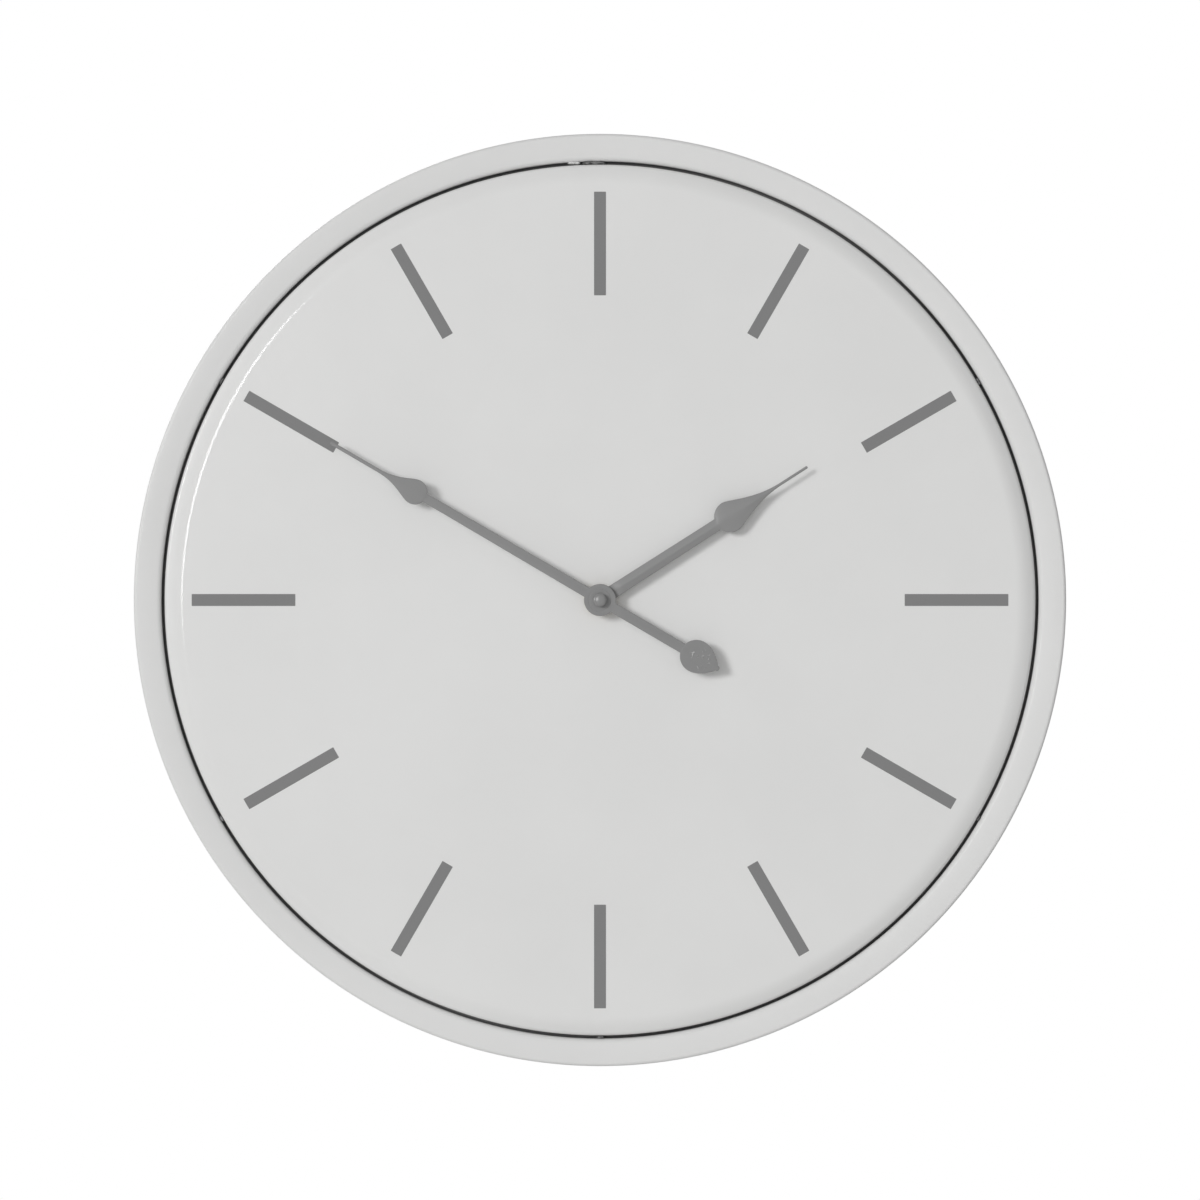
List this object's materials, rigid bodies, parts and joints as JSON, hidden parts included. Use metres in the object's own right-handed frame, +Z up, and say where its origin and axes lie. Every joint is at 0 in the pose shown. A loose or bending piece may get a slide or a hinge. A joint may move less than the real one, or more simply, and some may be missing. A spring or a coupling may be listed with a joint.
{
  "type": "wall clock",
  "caption": "Round wall clock: painted hoop around a dial pan, spade hands on a quartz movement, keyhole plate for hanging.",
  "frame": {"origin": "hanging point: top of the keyhole slot's centre line, on the wall plane", "axes": "+Y into the wall, +Z up, +X to the viewer's right as seen from the front"},
  "size_m": [0.42, 0.0494, 0.42],
  "materials": {
    "hoop_paint": "satin",
    "dial_paint": "satin",
    "hand_paint": "satin",
    "brass": "turned",
    "zinc_steel": "zinc plated",
    "black_plastic": "moulded",
    "nylon": "moulded",
    "rubber": "matte",
    "soft_iron": "blanked",
    "copper": "enamelled wire",
    "board": "solder mask",
    "magnet": "moulded ferrite",
    "cell_sleeve": "shrink sleeve"
  },
  "bodies": {
    "case": {"battery_cell": "cell_sleeve", "bracket_nut_1": "zinc_steel", "bracket_nut_2": "zinc_steel", "bracket_nut_3": "zinc_steel", "bracket_nut_4": "zinc_steel", "bracket_screw_1": "zinc_steel", "bracket_screw_2": "zinc_steel", "bracket_screw_3": "zinc_steel", "bracket_screw_4": "zinc_steel", "chip_cover": "black_plastic", "circuit_board": "board", "coil_bobbin": "nylon", "coil_core": "soft_iron", "coil_winding": "copper", "contact_negative": "zinc_steel", "contact_positive": "zinc_steel", "dial_bracket_1": "zinc_steel", "dial_bracket_2": "zinc_steel", "dial_bracket_3": "zinc_steel", "dial_bracket_4": "zinc_steel", "dial_gasket": "rubber", "dial_pan": "dial_paint", "dial_spacer_1": "hoop_paint", "dial_spacer_2": "hoop_paint", "dial_spacer_3": "hoop_paint", "dial_spacer_4": "hoop_paint", "dial_spacer_5": "hoop_paint", "dial_spacer_6": "hoop_paint", "dial_washer": "brass", "fixing_nut": "brass", "frame_hoop": "hoop_paint", "hanger_plate": "zinc_steel", "hanger_rivet_1": "zinc_steel", "hanger_rivet_2": "zinc_steel", "movement_case": "black_plastic", "movement_cover": "black_plastic", "quartz_crystal": "zinc_steel", "stator": "soft_iron", "threaded_bush": "brass", "train_plate": "black_plastic", "wall_pad_1": "rubber", "wall_pad_2": "rubber", "wall_pad_3": "rubber", "wall_pad_4": "rubber"},
    "minute": {"minute_hand": "hand_paint", "minute_hand_collet": "brass", "cap_nut": "hand_paint", "minute_arbor": "brass"},
    "hour": {"hour_hand": "hand_paint", "hour_hand_collet": "brass", "hour_wheel": "nylon"},
    "motion": {"motion_wheel": "nylon"},
    "setting": {"setting_pinion": "nylon", "setting_knob": "black_plastic"},
    "seconds": {"seconds_wheel": "nylon"},
    "centre": {"centre_wheel": "nylon"},
    "third": {"third_wheel": "nylon"},
    "intermediate": {"intermediate_wheel": "nylon"},
    "rotor": {"rotor_magnet": "magnet", "rotor_pinion": "nylon"}
  },
  "joints": [
    {"name": "minute_turn", "type": "hinge", "parent": "case", "child": "minute", "pos_m": [0, 0, -0.196], "axis": [0, 1, 0], "continuous": true},
    {"name": "hour_turn", "type": "hinge", "parent": "case", "child": "hour", "pos_m": [0, 0, -0.196], "axis": [0, 1, 0], "continuous": true},
    {"name": "motion_turn", "type": "hinge", "parent": "case", "child": "motion", "pos_m": [-0.00637, 0, -0.18963], "axis": [0, 1, 0], "continuous": true},
    {"name": "setting_turn", "type": "hinge", "parent": "case", "child": "setting", "pos_m": [-0.01537, 0, -0.18963], "axis": [0, 1, 0], "continuous": true},
    {"name": "seconds_turn", "type": "hinge", "parent": "case", "child": "seconds", "pos_m": [0, 0, -0.196], "axis": [0, 1, 0], "continuous": true},
    {"name": "centre_turn", "type": "hinge", "parent": "case", "child": "centre", "pos_m": [0, 0, -0.196], "axis": [0, 1, 0], "continuous": true},
    {"name": "third_turn", "type": "hinge", "parent": "case", "child": "third", "pos_m": [-0.00188, 0, -0.18536], "axis": [0, 1, 0], "continuous": true},
    {"name": "intermediate_turn", "type": "hinge", "parent": "case", "child": "intermediate", "pos_m": [0.0084, 0, -0.196], "axis": [0, 1, 0], "continuous": true},
    {"name": "rotor_turn", "type": "hinge", "parent": "case", "child": "rotor", "pos_m": [0.0156, 0, -0.196], "axis": [0, 1, 0], "continuous": true}
  ],
  "couplings": [
    {"joint": "hour_turn", "follows": "minute_turn", "ratio": 0.083333},
    {"joint": "motion_turn", "follows": "minute_turn", "ratio": -0.33333},
    {"joint": "setting_turn", "follows": "minute_turn", "ratio": 1},
    {"joint": "third_turn", "follows": "seconds_turn", "ratio": -0.13333},
    {"joint": "centre_turn", "follows": "seconds_turn", "ratio": 0.016667},
    {"joint": "intermediate_turn", "follows": "seconds_turn", "ratio": -6},
    {"joint": "rotor_turn", "follows": "seconds_turn", "ratio": 30}
  ]
}
